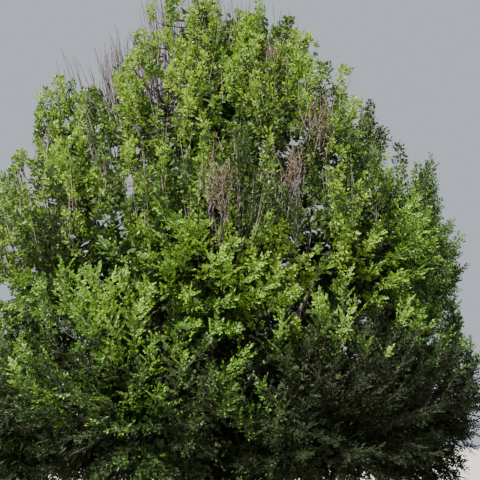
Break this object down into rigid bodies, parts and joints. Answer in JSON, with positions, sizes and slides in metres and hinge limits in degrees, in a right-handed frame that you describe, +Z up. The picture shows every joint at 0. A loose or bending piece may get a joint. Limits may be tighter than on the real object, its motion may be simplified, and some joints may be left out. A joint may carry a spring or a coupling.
{
  "type": "columnar hornbeam tree",
  "caption": "Broad, old columnar hornbeam in full leaf: steep boughs, dense upright masses of foliage down to near the ground, and bare dead shoots at the top.",
  "frame": {"origin": "middle of the flat cut under the trunk, at ground level", "axes": "+Z up the trunk, -Y towards the viewer of the picture, +X to that viewer's right"},
  "size_m": [11.0019, 10.9897, 12.5653],
  "materials": {
    "bark": "smooth fluted grey bark",
    "lower_foliage": "matt leaves",
    "upper_foliage": "matt leaves"
  },
  "bodies": {
    "root": {"trunk": "bark", "bough_skirt_1": "bark", "bough_skirt_2": "bark", "bough_skirt_3": "bark", "bough_skirt_4": "bark", "bough_skirt_5": "bark", "bough_skirt_6": "bark", "bough_skirt_7": "bark", "bough_skirt_8": "bark", "bough_wall_1": "bark", "bough_wall_2": "bark", "bough_wall_3": "bark", "bough_wall_4": "bark", "bough_wall_5": "bark", "bough_wall_6": "bark", "bough_wall_7": "bark", "bough_wall_8": "bark", "bough_shoulder_1": "bark", "bough_shoulder_2": "bark", "bough_shoulder_3": "bark", "bough_shoulder_4": "bark", "bough_shoulder_5": "bark", "bough_shoulder_6": "bark", "bough_crest_1": "bark", "bough_crest_2": "bark", "bough_crest_3": "bark", "bough_crest_4": "bark", "bough_crest_5": "bark", "foliage_skirt_1": "lower_foliage", "foliage_skirt_2": "lower_foliage", "foliage_skirt_3": "lower_foliage", "foliage_skirt_4": "lower_foliage", "foliage_skirt_5": "lower_foliage", "foliage_skirt_6": "lower_foliage", "foliage_skirt_7": "lower_foliage", "foliage_skirt_8": "lower_foliage", "foliage_wall_1": "lower_foliage", "foliage_wall_2": "lower_foliage", "foliage_wall_3": "lower_foliage", "foliage_wall_4": "lower_foliage", "foliage_wall_5": "lower_foliage", "foliage_wall_6": "lower_foliage", "foliage_wall_7": "lower_foliage", "foliage_wall_8": "lower_foliage", "foliage_shoulder_1": "upper_foliage", "foliage_shoulder_2": "upper_foliage", "foliage_shoulder_3": "upper_foliage", "foliage_shoulder_4": "upper_foliage", "foliage_shoulder_5": "upper_foliage", "foliage_shoulder_6": "upper_foliage", "foliage_crest_1": "upper_foliage", "foliage_crest_2": "upper_foliage", "foliage_crest_3": "upper_foliage", "foliage_crest_4": "upper_foliage", "foliage_crest_5": "upper_foliage", "foliage_leader": "upper_foliage"}
  },
  "joints": []
}
